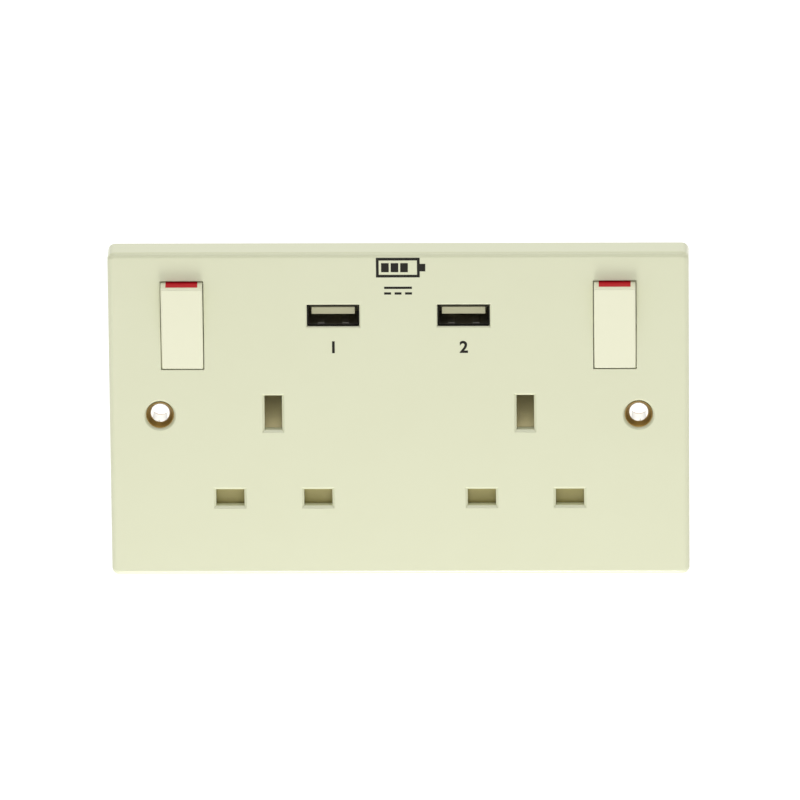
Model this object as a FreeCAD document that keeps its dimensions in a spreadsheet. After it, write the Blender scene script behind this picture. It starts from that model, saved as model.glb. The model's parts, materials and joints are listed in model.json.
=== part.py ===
import FreeCAD, Part
import os
import re
import Sketcher

# A two-gang switched wall socket with two USB charging ports.
# Origin: centre of the plate's wall side, midway between the fixing holes.
# X runs to the right as seen from the front, Z up and Y into the wall.

os.makedirs("parts", exist_ok=True)
doc = FreeCAD.newDocument("usb_wall_socket")
sheet = doc.addObject("Spreadsheet::Sheet", "dims")
pieces = []
RUNS_PER_TURN = 8

# Driving sizes, in millimetres, and in degrees where they say so
SIZES = {
    # Plate and fixing
    "plate_width": 146,  # plate, side to side
    "plate_height": 86,  # plate, top to bottom
    "plate_depth": 8,  # plate, face to wall
    "face_wall": 2.5,  # thickness of the plate's face
    "side_wall": 2.6,  # thickness of the plate's edge walls
    "corner_radius": 1.8,  # plate corners, seen from the front
    "edge_radius": 1.4,  # rounded front edge of the plate
    "hole_pitch": 120.6,  # distance between the two fixing holes
    "ferrule_radius": 3.45,  # outside of the brass fixing ferrule
    "screw_way_radius": 2.35,  # clear way for a fixing screw
    "ferrule_sink": 0.3,  # how far the ferrule lies below the face
    "ferrule_lip": 0.15,  # flat rim of a ferrule
    "countersink_depth": 1.7,  # countersink of a ferrule
    "boss_wall": 2.4,  # moulded wall round a ferrule
    "bevel": 0.6,  # bevel round the pin apertures and ferrules

    # Pin apertures
    "socket_pitch": 63.5,  # distance between the two sockets
    "pin_spread": 22.225,  # live pin to neutral pin
    "pin_drop": 22.225,  # earth pin down to the other two
    "slot_width": 7.1,  # live and neutral aperture, across
    "slot_height": 4.4,  # live and neutral aperture, up
    "earth_slot_width": 4.4,  # earth aperture, across
    "earth_slot_height": 9.2,  # earth aperture, up
    "earth_slot_lift": 0.45,  # middle of the earth aperture above the fixing holes

    # Rocker switches
    "rocker_spread": 108.8,  # distance between the two rockers
    "rocker_level": 23.9,  # height of the rockers above the fixing holes
    "rocker_width": 10.5,  # rocker, across
    "rocker_radius": 11.84,  # round ends of a rocker
    "end_lead": 1,  # centre of the round ends ahead of the pivot
    "rocker_rise": 5.3,  # rocker face ahead of its pivot
    "rocker_skirt": 0.7,  # rocker ends behind the pivot
    "ear_reach": 2.2,  # ears of a rocker behind the pivot
    "ear_half": 3,  # ears of a rocker, half their height
    "rocker_wall": 1.4,  # rocker, moulded wall
    "end_wall": 1,  # rocker, extra wall behind its round ends
    "ear_root": 1,  # ears of a rocker inside its walls
    "rib_drop": 1.5,  # rib of a rocker inside its skirt
    "rocker_gap": 0.2,  # gap between rocker and plate
    "rocker_tilt": 7,  # tilt of a rocker either way, in degrees
    "pivot_depth": 4,  # rocker pivot behind the plate's face
    "trunnion_radius": 1.2,  # pivot pin of a rocker
    "trunnion_reach": 1.5,  # pivot pin beyond the rocker's side
    "flash_width": 8,  # red flash, across
    "flash_depth": 3.9,  # red flash, front to back
    "flash_inset": 0.9,  # red flash behind the rocker's face
    "flash_thick": 1,  # red flash, into the rocker's end
    "fork_wall": 1.8,  # plate web that carries a rocker pivot
    "fork_height": 7,  # plate web that carries a rocker pivot, up
    "hood_wall": 1.2,  # hood behind the upper end of a rocker
    "hood_back": 0.4,  # back of the hood ahead of the wall side
    "plunger_radius": 1.5,  # sprung plunger under a rocker
    "plunger_length": 6,  # sprung plunger, end to end
    "boss_ring": 0.9,  # wall of the rocker's bored boss
    "touch_gap": 0.12,  # plunger tip ahead of the moving contact
    "post_height": 6.4,  # housing post behind a rocker pivot, up
    "post_play": 0.15,  # housing post, clear of the plate's web
    "strip_tilt": 10,  # tilt of a moving contact either way, in degrees
    "strip_width": 5,  # moving contact, across
    "strip_half": 7,  # moving contact, half its length
    "rivet_spot": 6,  # contact rivet, from the middle of the strip
    "rivet_radius": 1.2,  # contact rivet
    "rivet_thick": 0.7,  # contact rivet, height
    "rivet_margin": 0.2,  # fixed rivet wider than the moving one
    "open_gap": 0.35,  # between the rivets when a switch is open

    # USB ports
    "usb_spread": 32.8,  # distance between the two ports
    "usb_level": 26.4,  # height of the ports above the fixing holes
    "usb_bevel": 0.3,  # bevel round the port apertures
    "shell_width": 13.1,  # metal shell of a port, across
    "shell_height": 5.7,  # metal shell of a port, up
    "shell_wall": 0.3,  # metal shell, sheet
    "shell_sink": 0.5,  # metal shell's mouth behind the plate's face
    "tongue_width": 10.9,  # insulating tongue, across
    "tongue_thick": 1.8,  # insulating tongue, up
    "tongue_back": 1.2,  # tongue behind the shell's mouth
    "tongue_block": 5,  # block that carries the tongue, front to back
    "contact_width": 1,  # contact under the tongue, across
    "contact_thick": 0.25,  # contact under the tongue, up
    "contact_back": 0.8,  # contact behind the tongue's tip
    "outer_contact": 3.5,  # outer contacts, from the middle of a port
    "inner_contact": 1,  # inner contacts, from the middle of a port
    "board_width": 57,  # charger board, across
    "board_low": 16.4,  # charger board, lower edge
    "board_high": 32.6,  # charger board, upper edge
    "board_thick": 1.6,  # charger board, thickness
    "board_lead": 1.2,  # board ahead of the feed bar's back
    "cover_reach": 4.2,  # charger cover behind the housing
    "cover_wall": 1.5,  # charger cover, wall
    "cover_flange": 2,  # flange of the cover beyond its walls
    "cover_round": 1,  # rounded back edges of the cover
    "vent_pitch": 5,  # distance between vents
    "vent_width": 1.6,  # vent, across
    "vent_height": 8,  # vent, up
    "charger_gap": 0.8,  # housing walls beside the charger board
    "charger_lift": 0.6,  # housing walls above the live feed bar

    # Shutters
    "play": 0.3,  # play between sliding or moving mouldings
    "fit_gap": 0.05,  # running fit of pins and plungers, each side
    "seat_gap": 0.1,  # clearance of parts that seat on each other
    "shutter_thick": 2.2,  # shutter, front to back
    "shutter_travel": 6.2,  # how far a shutter slides down
    "shutter_span": 33,  # shutter bar, across
    "shutter_lap": 1.85,  # shutter bar beyond the aperture it closes
    "keeper_gap": 2.45,  # inner shutter keeper beside a terminal
    "stem_root": 1,  # shutter stem inside its bar
    "ramp_root": 4,  # shutter ramp below the earth aperture
    "ramp_tip": 0.8,  # flat end of a shutter ramp
    "rail_end": 2,  # guide rails below the earth aperture
    "stem_width": 8,  # shutter stem, across
    "ramp_width": 6,  # shutter ramp, across
    "ramp_thick": 2.2,  # shutter ramp, measured along Y
    "spring_radius": 1.5,  # outside of a shutter spring
    "spring_length": 10.4,  # shutter spring at rest
    "wire_thick": 0.4,  # square wire of the springs

    # Housing
    "housing_room": 8.3,  # back of the housing behind the pin clips
    "housing_wall": 1.8,  # housing wall and floor
    "housing_corner": 1.5,  # rounded corners of the housing
    "root": 0.5,  # how far a rib reaches into the wall it grows from
    "housing_low": -33,  # housing, lower edge
    "housing_step": 9,  # height where the housing widens
    "housing_high": 34.6,  # housing, upper edge
    "side_room": 1.75,  # lower side of the housing beyond the shutters
    "wide_half": 61.5,  # housing, half its upper width
    "rim_drop": 1.4,  # housing rim behind the shutters
    "rib": 1.2,  # ribs inside the housing
    "upper_screw_spread": 71,  # distance between the upper housing screws
    "upper_screw_level": 30,  # height of the upper housing screws
    "middle_screw_level": 7.2,  # height of the middle housing screw
    "screw_side": 3.95,  # lower housing screws beyond the shutters
    "lower_screw_level": -29,  # height of the lower housing screws
    "screw_radius": 1.25,  # housing screw, shank
    "screw_length": 5,  # housing screw, shank
    "screw_wall": 2,  # housing wall under a screw head
    "head_radius": 2.2,  # housing screw, head
    "head_thick": 1.5,  # housing screw, head
    "head_slot": 0.7,  # slot in a screw head, up
    "head_rim": 0.66,  # screw head beyond the ends of its slot
    "screw_play": 0.25,  # hole round a housing screw
    "column_radius": 3.2,  # housing column round a screw
    "boss_radius": 2.8,  # plate boss of a housing screw
    "pilot_floor": 0.4,  # plate left in front of a pilot hole

    # Conductors
    "strip": 0.8,  # thickness of the stamped brass
    "bar_width": 3,  # width of the bus bars
    "bar_space": 2,  # space between neighbouring bars
    "tab_half": 2,  # tabs of the bars beyond the middle of their joint
    "ridge_rise": 1.78,  # feed bar's front to the back of a moving contact
    "ridge_tip": 0.1,  # fulcrum ridge of a moving contact, half its edge
    "ridge_root": 1.2,  # fulcrum ridge of a moving contact, half its foot
    "charger_feed": 10,  # charger's live tail beside the live terminal
    "link_half": 1,  # neutral link to the charger, half its width
    "strap_half": 3,  # earth strap, half its width
    "strap_clear": 0.2,  # upright leg of the strap beside the housing
    "foot_half": 4.5,  # earth strap's foot at a ferrule, half its height
    "foot_reach": 1.5,  # earth strap's foot beyond a ferrule
    "foot_play": 0.15,  # hole in the foot round a fixing screw
    "rest_width": 6,  # housing rest under the earth strap, across
    "rest_height": 7,  # housing rest under the earth strap, up
    "live_run_drop": 2.5,  # switched live bar below the housing's step
    "riser_inset": 6.15,  # switched live riser inside the rocker's side
    "pin_length": 17.7,  # live and neutral pin ahead of the plug's face
    "pin_room": 1.3,  # room behind the end of a pin
    "clip_width": 6,  # live and neutral clip, across
    "clip_grip": 1.75,  # half the mouth between a clip's leaves
    "clip_sheet": 0.6,  # sheet of the clips
    "clip_flare": 0.9,  # lead of a clip's mouth
    "clip_ease": 0.5,  # room beside a pin behind the pinch
    "pinch_depth": 8,  # where a clip pinches, ahead of the pin's end
    "pinch_lead": 2.6,  # mouth of a clip ahead of its pinch
    "pinch_tail": 2,  # straight part of a clip behind its pinch
    "leaf_ease": 0.4,  # room beside the earth pin behind the pinch
    "earth_pinch": 3,  # earth clip's pinch behind its mouth
    "earth_tail": 5,  # straight part of the earth clip behind its mouth
    "earth_clip_half": 4,  # earth clip, half its height
    "terminal_pitch": 9,  # distance between the cable terminals
    "terminal_level": -18,  # height of the cable terminals
    "terminal_width": 7,  # terminal block, across
    "terminal_height": 8,  # terminal block, up
    "terminal_wall": 1.4,  # terminal block in front of its wire way
    "metal_bevel": 0.4,  # bevel of the terminals, screws and cans
    "wire_way_radius": 2.2,  # wire way in a terminal
    "wire_stop": 1.5,  # closed end of the wire way
    "clamp_wall": 2.5,  # threaded wall behind the wire way
    "clamp_radius": 1.75,  # terminal screw
    "clamp_length": 5.2,  # terminal screw
    "clamp_slot": 0.8,  # slot of a terminal screw, up
    "clamp_slot_depth": 1.1,  # slot of a terminal screw, depth
    "entry_width": 6,  # square wire entry in the housing
    "separator": 1,  # wall between two terminals
    "separator_rise": 1,  # wall between two terminals, above the blocks
    "separator_gap": 0.4,  # wall between two terminals, behind the feed bar
    "well_radius": 2.6,  # screwdriver way
    "well_reach": 1.7,  # shroud of a terminal screw behind the housing
}

# Sizes that follow from others: the housing reaches past the clips and the shutters, and a
# plunger reaches from its pivot to the moving contact in front of the feed bar
TIED = {
    "plunger_reach": "=pin_length + pin_room - bar_space - 2 * strip - ridge_rise - touch_gap - pivot_depth",
    "housing_depth": "=pin_length - plate_depth + pin_room + housing_room",
    "narrow_half": "=socket_pitch / 2 + shutter_span / 2 + side_room",
    "lower_screw_spread": "=socket_pitch + shutter_span + 2 * screw_side",
}
ROWS = SIZES | TIED
for row, (alias, content) in enumerate(ROWS.items(), 1):
    sheet.set(f"A{row}", alias)
    sheet.set(f"B{row}", str(content))
    sheet.setAlias(f"B{row}", alias)
doc.recompute()

# Levels along Y that several pieces share
face = "(0 - plate_depth)"
face_back = "(face_wall - plate_depth)"
pivot_y = "(pivot_depth - plate_depth)"
shutter_front = f"({face_back} + play)"
shutter_back = f"({shutter_front} + shutter_thick)"
rim = f"({shutter_back} + rim_drop)"
floor_y = "(housing_depth - housing_wall)"
clip_back = "(pin_length - plate_depth + pin_room)"
clip_web = f"({clip_back} - strip)"
bus_front = clip_back
bus_back = f"({bus_front} + strip)"
feed_back = f"({bus_front} - bar_space)"
feed_front = f"({feed_back} - strip)"
strap_back = f"({floor_y} - rib)"
strap_front = f"({strap_back} - strip)"
wire_y = f"({feed_back} + terminal_wall + wire_way_radius)"
block_back = f"({wire_y} + wire_way_radius + clamp_wall)"
board_front = f"({feed_back} - board_lead)"
board_back = f"({board_front} + board_thick)"
screw_seat = f"({rim} + screw_wall)"
strip_front = f"({pivot_y} + plunger_reach + touch_gap)"
strip_back = f"({strip_front} + strip)"
shell_front = f"({face} + shell_sink)"
ferrule_back = "(0 - strip - seat_gap)"
sink = f"({floor_y} + root)"

# Levels along Z and places along X that several pieces share
bar_low = "(housing_low + housing_wall + play)"
bar_high = f"({bar_low} + bar_width)"
shutter_top = "(0 - pin_drop + slot_height / 2 + shutter_lap)"
shutter_low = f"({shutter_top} - slot_height - 2 * shutter_lap)"
earth_low = "(earth_slot_lift - earth_slot_height / 2)"
spring_low = f"({shutter_low} - play - spring_length)"
live_run_low = "(housing_step - live_run_drop)"
live_run_high = f"({live_run_low} + bar_width)"
feed_low = f"({live_run_high} + bar_space)"
feed_high = f"({feed_low} + bar_width)"
riser_x = "(rocker_spread / 2 - rocker_width / 2 - riser_inset)"


def formula(text):
    """Point the sheet's aliases in a formula at the sheet."""
    def name(word):
        return f"dims.{word.group()}" if word.group() in ROWS else word.group()
    return re.sub(r"[a-z_]+", name, str(text))


def value(text):
    """What a formula comes to, in millimetres or degrees, read from the sheet."""
    return float(sheet.evalExpression(text))


def bind(item, prop, text):
    item.setExpression(prop, formula(text))


def piece(label, place=("0", "0", "0")):
    """A new body, with its own origin at the given place."""
    body = doc.addObject("PartDesign::Body", label)
    body.Label = label
    for axis, text in zip("xyz", place):
        bind(body, f"Placement.Base.{axis}", text)
    pieces.append(body)
    return body


# Sketch shapes, each a function that draws itself and binds its own sizes
def pin_point(drawing, index, end, across, up):
    for kind, text in (("DistanceX", across), ("DistanceY", up)):
        number = drawing.addConstraint(Sketcher.Constraint(kind, -1, 1, index, end, 1.0))
        bind(drawing, f"Constraints[{number}]", text)


def outline(*corners):
    def draw(drawing):
        count = len(corners)
        first = drawing.GeometryCount
        turn = FreeCAD.Rotation(FreeCAD.Vector(0, 0, 1), 360 / count)
        spots = [FreeCAD.Vector(10, 0, 0)]
        for number in range(count - 1):
            spots.append(turn.multVec(spots[-1]))
        for number in range(count):
            line = Part.LineSegment(spots[number], spots[(number + 1) % count])
            drawing.addGeometry(line, False)
        for number, (across, up) in enumerate(corners):
            following = first + (number + 1) % count
            joined = Sketcher.Constraint("Coincident", first + number, 2, following, 1)
            drawing.addConstraint(joined)
            pin_point(drawing, first + number, 1, across, up)
    return draw


def rect(left, right, low, high):
    return outline((left, low), (right, low), (right, high), (left, high))


def centred(across, up, width, height):
    """A rectangle about a centre."""
    return rect(
        f"({across}) - ({width}) / 2",
        f"({across}) + ({width}) / 2",
        f"({up}) - ({height}) / 2",
        f"({up}) + ({height}) / 2",
    )


def disc(across, up, radius):
    def draw(drawing):
        round_edge = Part.Circle(FreeCAD.Vector(1, 1, 0), FreeCAD.Vector(0, 0, 1), 1)
        index = drawing.addGeometry(round_edge, False)
        number = drawing.addConstraint(Sketcher.Constraint("Radius", index, 1.0))
        bind(drawing, f"Constraints[{number}]", radius)
        pin_point(drawing, index, 3, across, up)
    return draw


def sketch(body, plane, level, shapes):
    """A sketch on one of the body's own planes, moved to a level along Z, Y or X."""
    drawing = body.newObject("Sketcher::SketchObject", f"{body.Name}_sketch")
    own = [item for item in body.Origin.OriginFeatures if item.Role == f"{plane}_Plane"]
    drawing.AttachmentSupport = [(own[0], "")]
    drawing.MapMode = "FlatFace"
    sign = -1 if plane == "XZ" else 1
    bind(drawing, "AttachmentOffset.Base.z", f"{sign} * ({level})")
    for draw in shapes:
        draw(drawing)
    return drawing


def pad(body, plane, low, high, *shapes):
    """Add the shapes between two levels along the plane's normal."""
    start = high if plane == "XZ" else low
    feature = body.newObject("PartDesign::Pad", f"{body.Name}_pad")
    feature.Profile = sketch(body, plane, start, shapes)
    bind(feature, "Length", f"({high}) - ({low})")
    body.Tip = feature
    return feature


def cut(body, plane, low, high, *shapes):
    """Take the shapes away between two levels along the plane's normal."""
    start = low if plane == "XZ" else high
    feature = body.newObject("PartDesign::Pocket", f"{body.Name}_pocket")
    feature.Profile = sketch(body, plane, start, shapes)
    bind(feature, "Length", f"({high}) - ({low})")
    body.Tip = feature
    return feature


def turned(body, *corners):
    """A full revolution about the body's own Y axis of an outline of radius and Y."""
    profile = sketch(body, "XY", "0", [outline(*corners)])
    feature = body.newObject("PartDesign::Revolution", f"{body.Name}_turned")
    feature.Profile = profile
    feature.ReferenceAxis = (profile, ["V_Axis"])
    feature.Angle = 360
    body.Tip = feature
    return feature


def dress(body, kind, amount, test):
    """Fillet or bevel the edges of the body so far that pass the test."""
    base = body.Tip
    doc.recompute()
    names = [f"Edge{n}" for n, edge in enumerate(base.Shape.Edges, 1) if test(edge.BoundBox)]
    feature = body.newObject(f"PartDesign::{kind}", f"{body.Name}_{kind.lower()}")
    feature.Base = (base, names)
    bind(feature, "Radius" if kind == "Fillet" else "Size", amount)
    body.Tip = feature
    return feature


def coil(label, place, along, radius, length, turns):
    """A spring of square wire in short straight runs, from a place along a direction."""
    wire = value("wire_thick")
    turn = FreeCAD.Rotation(FreeCAD.Vector(0, 0, 1), along)
    corners = []
    for number in range(turns * RUNS_PER_TURN + 1):
        around = FreeCAD.Rotation(FreeCAD.Vector(0, 0, 1), number * 360 / RUNS_PER_TURN)
        corner = around.multVec(FreeCAD.Vector(radius - wire / 2, 0, 0))
        corner.z = wire / 2 + (length - wire) * number / (turns * RUNS_PER_TURN)
        corners.append(corner)
    spine = Part.makePolygon(corners)
    ring = [corners[0] + FreeCAD.Vector(across * wire / 2, 0, up * wire / 2)
            for across, up in ((-1, -1), (1, -1), (1, 1), (-1, 1), (-1, -1))]
    shell = Part.BRepOffsetAPI.MakePipeShell(spine)
    shell.setFrenetMode(True)
    shell.setTransitionMode(1)
    shell.add(Part.makePolygon(ring))
    shell.build()
    shell.makeSolid()
    body = doc.addObject("Part::Feature", label)
    body.Label = label
    body.Shape = shell.shape()
    body.Placement = FreeCAD.Placement(place, turn)
    pieces.append(body)


SIDES = {"left": -1, "right": 1}


# Front plate: a shallow moulded tray with a rounded front edge
def front_plate():
    body = piece("front_plate")
    pad(body, "XZ", face, "0", centred("0", "0", "plate_width", "plate_height"))
    doc.recompute()
    box = body.Tip.Shape.BoundBox
    dress(body, "Fillet", "corner_radius", lambda e: e.YLength > box.YLength / 2)
    dress(body, "Fillet", "edge_radius", lambda e: e.YMax < box.YMin + 0.001)
    inside = centred("0", "0", "plate_width - 2 * side_wall", "plate_height - 2 * side_wall")
    cut(body, "XZ", face_back, "0", inside)

    # Bosses for the ferrules and the housing screws
    for side in (-1, 1):
        ferrule = disc(f"{side} * hole_pitch / 2", "0", "ferrule_radius + boss_wall")
        pad(body, "XZ", face_back, ferrule_back, ferrule)
    bosses = [disc(across, up, "boss_radius") for across, up in SCREW_SPOTS]
    pad(body, "XZ", face_back, rim, *bosses)
    pilots = [disc(across, up, "screw_radius + seat_gap") for across, up in SCREW_SPOTS]
    cut(body, "XZ", f"{face_back} + pilot_floor", rim, *pilots)

    # Webs that carry the rocker pivots, open towards the back
    for side in (-1, 1):
        middle = f"{side} * rocker_spread / 2"
        for edge in (-1, 1):
            near = f"{middle} + {edge} * (rocker_width / 2 + play)"
            web = centred(f"{near} + {edge} * fork_wall / 2", "rocker_level", "fork_wall", "fork_height")
            pad(body, "XZ", face_back, rim, web)
        slot = centred(middle, "rocker_level", "rocker_width + 2 * fork_wall + 4 * play",
                       "2 * trunnion_radius + 2 * fit_gap")
        cut(body, "XZ", f"{pivot_y} - trunnion_radius - fit_gap", rim, slot)

    # Hoods that close the plate behind the upper ends of the rockers
    top = "(rocker_level + rocker_radius + end_lead * sin(rocker_tilt * 1 deg) + 2 * rocker_gap)"
    low = "(housing_high + rocker_gap)"
    for side in (-1, 1):
        middle = f"{side} * rocker_spread / 2"
        half = "(rocker_width / 2 + play)"
        outside = rect(f"{middle} - {half} - fork_wall", f"{middle} + {half} + fork_wall", low,
                       f"{top} + hood_wall")
        pad(body, "XZ", face_back, "0 - hood_back", outside)
        inside = rect(f"{middle} - {half}", f"{middle} + {half}", f"{low} - hood_wall", top)
        cut(body, "XZ", face_back, "0 - hood_back - hood_wall / 2", inside)

    # Guide rails of the shutters and the seats of their springs
    for side in (-1, 1):
        middle = f"{side} * socket_pitch / 2"
        rails = []
        for edge in (-1, 1):
            bar_rail = f"{middle} + {edge} * (shutter_span / 2 + play + rib / 2)"
            low = f"{shutter_low} - shutter_travel"
            rails.append(rect(f"{bar_rail} - rib / 2", f"{bar_rail} + rib / 2", low, shutter_top))
            stem_rail = f"{middle} + {edge} * (stem_width / 2 + play + rib / 2)"
            rails.append(rect(f"{stem_rail} - rib / 2", f"{stem_rail} + rib / 2",
                              f"{shutter_top} + play", f"{earth_low} - rail_end"))
        pad(body, "XZ", face_back, shutter_back, *rails)
        seat = rect(f"{middle} - 2 * spring_radius", f"{middle} + 2 * spring_radius",
                    f"{spring_low} - rib", spring_low)
        pad(body, "XZ", face_back, f"{shutter_front} + 2 * spring_radius + 2 * seat_gap", seat)

    # Pin apertures and ferrule holes, bevelled at the face
    openings = []
    for side in (-1, 1):
        middle = f"{side} * socket_pitch / 2"
        earth = centred(middle, "earth_slot_lift", "earth_slot_width", "earth_slot_height")
        openings.append(earth)
        for pole in (-1, 1):
            spot = f"{middle} + {pole} * pin_spread / 2"
            openings.append(centred(spot, "0 - pin_drop", "slot_width", "slot_height"))
    cut(body, "XZ", face, face_back, *openings)
    holes = [disc(f"{side} * hole_pitch / 2", "0", "ferrule_radius + fit_gap") for side in (-1, 1)]
    cut(body, "XZ", face, ferrule_back, *holes)
    reach_x = value("plate_width / 2 - 2 * edge_radius")
    reach_z = value("plate_height / 2 - 2 * edge_radius")

    def around_opening(e):
        inside = abs(e.Center.x) < reach_x and abs(e.Center.z) < reach_z
        return inside and e.YMax < box.YMin + 0.001

    dress(body, "Chamfer", "bevel", around_opening)

    # Port apertures, with a smaller bevel
    port_x = value("usb_spread / 2")
    port_z = value("usb_level")
    near = value("shell_width / 2 + play")
    ports = [centred(f"{side} * usb_spread / 2", "usb_level", "shell_width + 2 * fit_gap",
                     "shell_height + 2 * fit_gap") for side in (-1, 1)]
    cut(body, "XZ", face, face_back, *ports)

    def around_port(e):
        close = abs(abs(e.Center.x) - port_x) < near and abs(e.Center.z - port_z) < near
        return close and e.YMax < box.YMin + 0.001

    dress(body, "Chamfer", "usb_bevel", around_port)

    # Rocker apertures, wider towards the back so that the round ends can swing
    swing = "end_lead * sin(rocker_tilt * 1 deg) + rocker_gap"
    for side in (-1, 1):
        middle = f"{side} * rocker_spread / 2"
        half = "rocker_width / 2 + rocker_gap"
        reach = f"sqrt(rocker_radius ^ 2 - (pivot_depth - end_lead) ^ 2) + {swing}"
        deep = f"sqrt(rocker_radius ^ 2 - (pivot_depth - end_lead - face_wall) ^ 2) + {swing}"
        window = outline(
            (face, f"rocker_level - ({reach})"),
            (face_back, f"rocker_level - ({deep})"),
            (face_back, f"rocker_level + {deep}"),
            (face, f"rocker_level + {reach}"),
        )
        cut(body, "YZ", f"{middle} - ({half})", f"{middle} + {half}", window)


SCREW_SPOTS = [
    ("0 - upper_screw_spread / 2", "upper_screw_level"),
    ("upper_screw_spread / 2", "upper_screw_level"),
    ("0", "middle_screw_level"),
    ("0 - lower_screw_spread / 2", "lower_screw_level"),
    ("lower_screw_spread / 2", "lower_screw_level"),
]


# Brass eyelet in each fixing hole, countersunk at the face
def fixing_ferrule(name, side):
    body = piece(f"fixing_ferrule_{name}", (f"{side} * hole_pitch / 2", "0", "0"))
    front = f"{face} + ferrule_sink"
    turned(
        body,
        ("screw_way_radius", f"{front} + countersink_depth"),
        ("ferrule_radius - ferrule_lip", front),
        ("ferrule_radius", front),
        ("ferrule_radius", ferrule_back),
        ("screw_way_radius", ferrule_back),
    )


# Rocker: a hollow moulding with round ends, pivot pins and a bored boss
def rocker(name, side):
    body = piece(f"rocker_{name}", (f"{side} * rocker_spread / 2", pivot_y, "rocker_level"))
    body.Placement.Rotation = FreeCAD.Rotation(FreeCAD.Vector(1, 0, 0), 1)
    bind(body, "Placement.Rotation.Angle", "rocker_tilt")
    half = "rocker_width / 2"
    big = "3 * rocker_radius"
    front = "(0 - rocker_rise)"
    pad(body, "YZ", f"0 - {half}", half, disc("0 - end_lead", "0", "rocker_radius"))
    cut(body, "YZ", f"0 - {half}", half, rect(f"0 - {big}", front, f"0 - {big}", big))
    cut(body, "YZ", f"0 - {half}", half, rect("rocker_skirt", big, f"0 - {big}", big))
    doc.recompute()
    box = body.Tip.Shape.BoundBox
    dress(body, "Fillet", "rocker_wall / 3", lambda e: e.YMax < box.YMin + 0.001)
    depth = "rocker_radius - rocker_wall - end_wall"
    inside = rect(f"{front} + rocker_wall", "rocker_skirt", f"0 - ({depth})", depth)
    cut(body, "YZ", f"rocker_wall - {half}", f"{half} - rocker_wall", inside)

    # Ears behind the side walls, the pivot pins and the bored boss
    ear = rect("rocker_skirt - ear_root", "ear_reach", "0 - ear_half", "ear_half")
    pad(body, "YZ", f"{half} - rocker_wall", half, ear)
    pad(body, "YZ", f"0 - {half}", f"rocker_wall - {half}", ear)
    pin = disc("0", "0", "trunnion_radius")
    pad(body, "YZ", f"{half} - rocker_wall", f"{half} + trunnion_reach", pin)
    pad(body, "YZ", f"0 - {half} - trunnion_reach", f"rocker_wall - {half}", pin)
    boss_end = "(plunger_reach - plunger_radius * 2)"
    pad(body, "XZ", f"{front} + rocker_wall", boss_end, disc("0", "0", "plunger_radius + boss_ring"))
    rib = rect("0 - rib / 2", "rib / 2", f"0 - ({depth})", depth)
    pad(body, "XZ", f"{front} + rocker_wall", "rocker_skirt - rib_drop", rib)
    cut(body, "XZ", f"{front} + 2 * rocker_wall", boss_end, disc("0", "0", "plunger_radius + fit_gap"))

    # Seat of the red flash in the upper end
    seat_front = f"{front} + flash_inset"
    seat = rect(seat_front, f"{seat_front} + flash_depth", "rocker_radius - flash_thick", big)
    cut(body, "YZ", "0 - flash_width / 2", "flash_width / 2", seat)


# Red flash: fills its seat, flush with the rocker's round end
def rocker_flash(name, side):
    place = (f"{side} * rocker_spread / 2", pivot_y, "rocker_level")
    body = piece(f"rocker_flash_{name}", place)
    body.Placement.Rotation = FreeCAD.Rotation(FreeCAD.Vector(1, 0, 0), 1)
    bind(body, "Placement.Rotation.Angle", "rocker_tilt")
    front = "(flash_inset - rocker_rise)"
    big = "3 * rocker_radius"
    low = "(rocker_radius - flash_thick)"
    half = "flash_width / 2"
    pad(body, "YZ", f"0 - {half}", half, disc("0 - end_lead", "0", "rocker_radius"))
    cut(body, "YZ", f"0 - {half}", half, rect(f"0 - {big}", front, f"0 - {big}", big))
    cut(body, "YZ", f"0 - {half}", half, rect(f"{front} + flash_depth", big, f"0 - {big}", big))
    cut(body, "YZ", f"0 - {half}", half, rect(f"0 - {big}", big, f"0 - {big}", low))


# Sprung plunger in the rocker's boss, narrowed at its tip
def plunger(name, side):
    place = (f"{side} * rocker_spread / 2", pivot_y, "rocker_level")
    body = piece(f"plunger_{name}", place)
    body.Placement.Rotation = FreeCAD.Rotation(FreeCAD.Vector(1, 0, 0), 1)
    bind(body, "Placement.Rotation.Angle", "rocker_tilt")
    back = "(plunger_reach - plunger_length)"
    feature = turned(
        body,
        ("0", back),
        ("plunger_radius", back),
        ("plunger_radius", "plunger_reach"),
        ("0", "plunger_reach"),
    )
    doc.recompute()
    tip = feature.Shape.BoundBox.YMax
    dress(body, "Chamfer", "plunger_radius / 2", lambda e: e.YMin > tip - 0.001)


# Spring behind the plunger, inside the boss
def rocker_spring(name, side):
    turn = FreeCAD.Rotation(FreeCAD.Vector(1, 0, 0), value("rocker_tilt"))
    along = turn.multVec(FreeCAD.Vector(0, 1, 0))
    pivot = FreeCAD.Vector(side * value("rocker_spread / 2"), value(pivot_y), value("rocker_level"))
    start = value("2 * rocker_wall - rocker_rise + seat_gap")
    length = value("plunger_reach - plunger_length - seat_gap") - start
    radius = value("plunger_radius - seat_gap")
    coil(f"rocker_spring_{name}", pivot + along * start, along, radius, length, 4)


# Moving contact: a stamped strip that rocks on its fulcrum, with a rivet at its upper end
def moving_contact(name, side):
    place = (f"{side} * rocker_spread / 2", strip_back, "rocker_level")
    body = piece(f"moving_contact_{name}", place)
    body.Placement.Rotation = FreeCAD.Rotation(FreeCAD.Vector(-1, 0, 0), 1)
    bind(body, "Placement.Rotation.Angle", "strip_tilt")
    pad(body, "XZ", "0 - strip", "0", centred("0", "0", "strip_width", "2 * strip_half"))
    pad(body, "XZ", "0 - seat_gap", "rivet_thick", disc("0", "rivet_spot", "rivet_radius"))


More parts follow.
